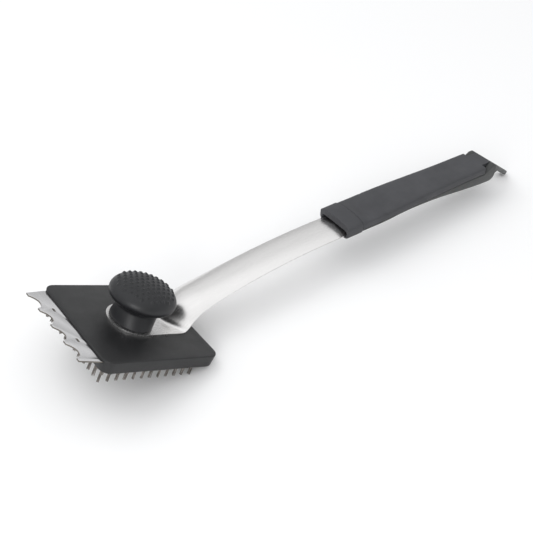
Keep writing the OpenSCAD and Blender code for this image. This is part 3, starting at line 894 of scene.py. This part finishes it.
def power(value, k):
    """The value's size raised to k, with its sign kept."""
    return math.copysign(abs(value) ** k, value)


def grip_section(s, inset=0.0):
    """Outline of the grip at s, counter-clockwise seen from the front, as (y, z) pairs."""
    w = grip_w(s) - inset
    arch = camber * math.sin(math.pi * min(max(s, 0), grip_len) / grip_len)
    up = rim_up + arch - side_z - inset * 1.1
    low = grip_low(s) + side_z - inset
    section = []
    for i in range(ring_points):
        a = 2 * math.pi * (i + 0.5) / ring_points
        upper = math.sin(a) > 0
        k = 2 / (4.2 if upper else low_power(s))
        y = w * power(math.cos(a), k)
        z = side_z + (up if upper else low) * power(math.sin(a), k)
        if upper:
            z -= grip_dish(s) * (1 - (y / w) ** 2)
        section.append((y, z))
    return section


def end_ring(s, inset):
    return [(s, y, z) for y, z in grip_section(s, inset)]


def mouth_ring(s, grow):
    """Outline of the slot that the arm passes through, a rounded box drawn out by grow."""
    middle = (mouth_z[0] + mouth_z[1]) / 2
    half = (mouth_z[1] - mouth_z[0]) / 2 + grow
    ring = []
    for i in range(ring_points):
        a = 2 * math.pi * (i + 0.5) / ring_points
        y = (mouth_w + grow) * power(math.cos(a), 2 / 8)
        ring.append((s, y, middle + half * power(math.sin(a), 2 / 5)))
    return ring


def build_collar():
    """The front band: a skin from inside the slot, over the rounded front, to its back edge."""
    edge = 0.45
    rings = [mouth_ring(collar_len - 1, 0.0), mouth_ring(edge, 0.0)]
    for a in spread(0, 90, 4)[1:]:
        a = math.radians(a)
        rings.append(mouth_ring(edge * (1 - math.sin(a)), edge * (1 - math.cos(a))))
    for a in spread(0, 90, 5):
        a = math.radians(a)
        rings.append(end_ring(edge * (1 - math.cos(a)), edge * (1 - math.sin(a)) - collar_out))
    for s in spread(edge, collar_len - collar_out - 0.1, 8)[1:]:
        rings.append(end_ring(s, -collar_out))
    rings.append(end_ring(collar_len - 0.25, 0.15 - collar_out))
    rings.append(end_ring(collar_len - 0.1, 0.0))
    rings.append(end_ring(collar_len - 0.1, grip_wall))
    points, faces = loft(rings, closed_ends=False)
    obj = new_object("collar_shell", mesh_from(points, faces))
    outward(obj.data)
    obj.data.transform(GRIP)
    add_piece(obj, soft_grip, ["grip_collar"], 60)


def half_ring(s, inset, keep_upper, gap=0.12):
    """The part of the section over or under the parting line, with softened parting edges."""
    section = grip_section(s, inset)
    level = split_z + gap if keep_upper else split_z - gap
    kept = []
    for i in range(ring_points):
        j = (i + 1) % ring_points
        (y0, z0), (y1, z1) = section[i], section[j]
        inside0 = (z0 > level) == keep_upper
        inside1 = (z1 > level) == keep_upper
        if inside0:
            kept.append((y0, z0))
        if inside0 != inside1:
            t = (level - z0) / (z1 - z0)
            y = y0 + (y1 - y0) * t
            kept.append((y * 0.985, level))
    return kept


def resampled(loop, count):
    """The same closed loop with count evenly spaced points, from its widest point on."""
    start = max(range(len(loop)), key=lambda i: loop[i][0] - abs(loop[i][1] - split_z) * 0.001)
    loop = loop[start:] + loop[:start]
    loop = loop + [loop[0]]
    lengths = [0.0]
    for a, b in zip(loop, loop[1:]):
        lengths.append(lengths[-1] + math.hypot(b[0] - a[0], b[1] - a[1]))
    result = []
    k = 0
    for i in range(count):
        target = lengths[-1] * i / count
        while lengths[k + 1] < target:
            k += 1
        t = (target - lengths[k]) / max(lengths[k + 1] - lengths[k], 1e-9)
        result.append(tuple(loop[k][c] + (loop[k + 1][c] - loop[k][c]) * t for c in (0, 1)))
    return result


def end_profile(s0, s1, radius):
    """Stations and insets of a piece with rounded ends between s0 and s1."""
    rounded = []
    for a in spread(0, 90, 5):
        a = math.radians(a)
        rounded.append((radius * (1 - math.sin(a)), radius * (1 - math.cos(a))))
    stations = [(s0 + back, inset) for back, inset in reversed(rounded)]
    stations += [(s, 0.0) for s in spread(s0 + radius, s1 - radius, 44)[1:-1]]
    stations += [(s1 - back, inset) for back, inset in rounded]
    return stations


def narrowed(ring, half_width):
    """The ring with its sides pressed in to a half width."""
    return [(s, max(-half_width, min(half_width, y)), z) for s, y, z in ring]


def build_cover():
    """The cover: full width up to the shoulder, then a tongue between the loop's ears."""

    def ring_at(s, inset):
        half = resampled(half_ring(s, inset, True), ring_points)
        return [(s, y, z) for y, z in half]

    soft = 0.7
    rings = []
    for s, inset in end_profile(collar_len + seam, shoulder, soft):
        if s < shoulder - 2 * soft:
            rings.append(ring_at(s, inset))
        else:
            rings.append(narrowed(ring_at(s, 0.0), grip_w(s) - inset))
    rings.append(narrowed(ring_at(shoulder, 0.0), tongue_w))
    for s, inset in end_profile(shoulder, cover_end, soft):
        if s > shoulder + soft:
            rings.append(narrowed(ring_at(s, inset), tongue_w - inset))
    obj = new_object("cover_skin", mesh_from(*loft(rings)))
    outward(obj.data)
    obj.data.transform(GRIP)
    add_piece(obj, soft_grip, ["grip_cover"], 40)


# ---- grip body and hang loop ----

# The loop's frame lies on its upper face: x down the loop, y across it
loop_len = 52.0
loop_t = 4.4
loop_angle = 36.0           # how far the loop slopes down from the grip's axis
loop_base_w = 15.0          # half width of the loop where it leaves the grip
loop_base_r = 4.0
loop_tip_r = 4.5
loop_tip_x = loop_len - loop_tip_r
loop_hole_r = 2.5           # radius of the hole's corners
loop_rim = 6.5              # from the middle of a hole's corner to the loop's edge, along it
loop_start = Vector((177.0, 0, 2.4))
web_len = 19.0              # how far back the web under the loop reaches
web_w = 12.0                # half width of the web
heel_up = -17.0             # level where the web leaves the grip's end
beyond = 40.0               # reach of a cutter that has to clear the whole grip
LOOP = GRIP @ Matrix.Translation(loop_start) @ Matrix.Rotation(math.radians(loop_angle), 4, "Y")


def hull_of_circles(circles, steps=14):
    """Outline round circles (x, y, r) given counter-clockwise, as tangent arcs."""
    outline = []
    count = len(circles)
    for i in range(count):
        x, y, r = circles[i]
        px, py, pr = circles[i - 1]
        nx, ny, nr = circles[(i + 1) % count]
        before = tangent_angle(px, py, pr, x, y, r)
        after = tangent_angle(x, y, r, nx, ny, nr)
        while after < before:
            after += 2 * math.pi
        for a in spread(before, after, steps):
            outline.append((x + r * math.cos(a), y + r * math.sin(a)))
    return outline


def tangent_angle(x0, y0, r0, x1, y1, r1):
    """Direction of the outward normal of the tangent that runs past both circles."""
    away = math.atan2(y1 - y0, x1 - x0)
    return away - math.pi / 2 + math.asin((r0 - r1) / math.hypot(x1 - x0, y1 - y0))


def prism(name, outline, low, high, place, upright=False):
    """A straight prism over an outline; upright stands it across the grip, along y."""
    if upright:
        rings = [[(x, level, z) for x, z in outline] for level in (low, high)]
    else:
        rings = [[(x, y, level) for x, y in outline] for level in (low, high)]
    obj = new_object(name, mesh_from(*loft(rings)))
    outward(obj.data)
    obj.data.transform(place)
    return obj


def box_outline(x0, x1, y0, y1):
    return [(x0, y0), (x1, y0), (x1, y1), (x0, y1)]


def web_outline():
    """Side view of the web under the loop's root, hollowed towards the heel."""
    down = math.radians(loop_angle)
    root_x = loop_start.x - loop_t * math.sin(down)
    root_z = loop_start.z - loop_t * math.cos(down)
    far_x = root_x + web_len * math.cos(down)
    far_z = root_z - web_len * math.sin(down)
    heel_x = grip_len - 1
    outline = [(heel_x - 4, heel_up), (heel_x - 4, -6), (far_x, far_z + 1)]
    for t in spread(1, 0, 12):
        outline.append((heel_x + (far_x - heel_x) * t, heel_up + (far_z - heel_up) * math.sqrt(t)))
    return outline


def build_body():
    """The hard lower moulding, the loop's plate and the web under it, fused into one skin."""
    rings = []
    for s, inset in end_profile(collar_len + seam, grip_len, 1.8):
        if s < shoulder + 0.3:
            half = resampled(half_ring(s, min(inset, 0.7), False), ring_points)
        else:
            half = resampled(grip_section(s, inset), ring_points)
        rings.append([(s, y, z) for y, z in half])
    body = new_object("grip_under", mesh_from(*loft(rings)))
    outward(body.data)
    body.data.transform(GRIP)

    base_y = loop_base_w - loop_base_r
    hole_y = loop_base_w - 8
    outline = hull_of_circles([
        (6, -base_y, loop_base_r), (loop_tip_x, 0, loop_tip_r), (6, base_y, loop_base_r)
    ])
    hole = hull_of_circles([
        (loop_rim, -hole_y, loop_hole_r),
        (loop_tip_x - loop_rim, 0, loop_hole_r),
        (loop_rim, hole_y, loop_hole_r),
    ])
    plate = plate_from_outline("loop_plate", outline, [hole], -loop_t, loop_t, 0.9)
    plate.data.transform(LOOP)
    web = prism("web", web_outline(), -web_w, web_w, GRIP, upright=True)

    down = math.radians(loop_angle)
    ear_x = loop_start.x + 2 * math.cos(down)
    ear_z = loop_start.z - 2 * math.sin(down)
    ear_front = [
        (shoulder - 2, split_z + 0.2),
        (shoulder + 0.3, split_z + 0.2),
        (shoulder + ear_foot, split_z + 3.5),
        (ear_x, ear_z),
        (ear_x, beyond),
        (shoulder - 2, beyond),
    ]
    cut(body, prism("ear_front", ear_front, -beyond, beyond, GRIP, upright=True))
    cut(body, prism("over_loop", box_outline(0, beyond, -beyond, beyond), 0, beyond, LOOP))
    for piece in (body, web):
        cut(piece, prism("hole", hole, -beyond, beyond, LOOP))
    room_w = tongue_w + 0.2
    for piece in (body, plate, web):
        room = box_outline(shoulder - 2, cover_end + 0.2, -room_w, room_w)
        cut(piece, prism("tongue_room", room, split_z + 0.1, beyond, GRIP))

    bm = bmesh.new()
    for piece in (body, plate, web):
        bm.from_mesh(piece.data)
    bm.to_mesh(body.data)
    bm.free()
    bpy.data.objects.remove(plate)
    bpy.data.objects.remove(web)
    fuse = body.modifiers.new("fuse", "REMESH")
    fuse.mode = "VOXEL"
    fuse.voxel_size = 0.5
    soften = body.modifiers.new("soften", "SMOOTH")
    soften.factor = 0.5
    soften.iterations = 6
    apply_modifiers(body)
    add_piece(body, grip_plastic, ["grip_body"], 60)


# ---- build ----

tuft_rows = tuft_places()
build_head([place for places in tuft_rows.values() for place in places])
build_bristles(tuft_rows)
build_scraper()
build_arm()
build_knob()
build_collar()
build_cover()
build_body()

# ---- floor, light and camera ----


def build_floor():
    """A plain pale floor, in metres."""
    half = 3.0
    steps = 8
    points = [(x, y, 0) for x in spread(-half, half, steps) for y in spread(-half, half, steps)]
    row = steps + 1
    faces = []
    for i in range(steps):
        for j in range(steps):
            a = i * row + j
            faces.append((a, a + row, a + row + 1, a + 1))
    floor = new_object("floor", mesh_from(points, faces))
    s = Shader("floor_paint", (0.9, 0.9, 0.9), 0.7)
    s.main.inputs["Specular IOR Level"].default_value = 0.2
    s.bump(s.noise(160, 2), 0.00005)
    floor.data.materials.append(s.material)


def area_light(name, spot, target, size, power_w):
    data = bpy.data.lights.new(name, "AREA")
    data.shape = "RECTANGLE"
    data.size, data.size_y = size
    data.energy = power_w
    lamp = bpy.data.objects.new(name, data)
    lamp.location = spot
    lamp.rotation_euler = (Vector(target) - Vector(spot)).to_track_quat("-Z", "Y").to_euler()
    scene.collection.objects.link(lamp)
    return lamp


def build_light():
    """An even white studio, with a large lamp high behind and a small one beside the camera."""
    world = bpy.data.worlds.new("studio")
    world.use_nodes = True
    nodes = world.node_tree.nodes
    links = world.node_tree.links
    background = nodes["Background"]
    background.inputs["Color"].default_value = (0.985, 0.99, 1.0, 1)
    where = nodes.new("ShaderNodeTexCoord")
    axes = nodes.new("ShaderNodeSeparateXYZ")
    links.new(where.outputs["Generated"], axes.inputs["Vector"])
    # The sky grows brighter upwards in soft steps: lowest and highest direction, then strengths
    sky_steps = (
        (0.0, 0.65, 0.54, 0.86),
        (0.6, 1.0, 0.0, 0.32),
    )
    total = None
    for low_z, high_z, low, high in sky_steps:
        rise = nodes.new("ShaderNodeMapRange")
        rise.interpolation_type = "SMOOTHSTEP"
        rise.inputs["From Min"].default_value = low_z
        rise.inputs["From Max"].default_value = high_z
        rise.inputs["To Min"].default_value = low
        rise.inputs["To Max"].default_value = high
        links.new(axes.outputs["Z"], rise.inputs["Value"])
        if total:
            both = nodes.new("ShaderNodeMath")
            links.new(total, both.inputs[0])
            links.new(rise.outputs["Result"], both.inputs[1])
            total = both.outputs["Value"]
        else:
            total = rise.outputs["Result"]
    links.new(total, background.inputs["Strength"])
    scene.world = world
    key = area_light("key", (-0.6, 0.9, 1.6), (0, 0, 0), (1.4, 1.4), 8)
    key.visible_glossy = False
    area_light("side", (-1.0, -0.75, 0.55), (-0.15, 0, 0.05), (0.5, 0.5), 4)


def build_camera():
    """The fitted camera, in the tool's frame."""
    eye = Vector((-395.19, -443.70, 336.28))
    look = Vector((0.70086, 0.61147, -0.36730)).normalized()
    right = Vector((0.71309, -0.58794, 0.38188))
    right = (right - look * right.dot(look)).normalized()
    up = right.cross(look)
    basis = Matrix((right, up, -look)).transposed().to_4x4()
    data = bpy.data.cameras.new("camera")
    data.lens = 60.03
    data.sensor_width = 36.0
    data.clip_start = 0.02
    camera = bpy.data.objects.new("camera", data)
    place = TOOL @ Matrix.Translation(eye) @ basis
    unscaled = (1, 1, 1)
    camera.matrix_world = Matrix.LocRotScale(place.to_translation(), place.to_quaternion(), unscaled)
    scene.collection.objects.link(camera)
    scene.camera = camera


build_floor()
build_light()
build_camera()
scene.view_settings.view_transform = "Standard"
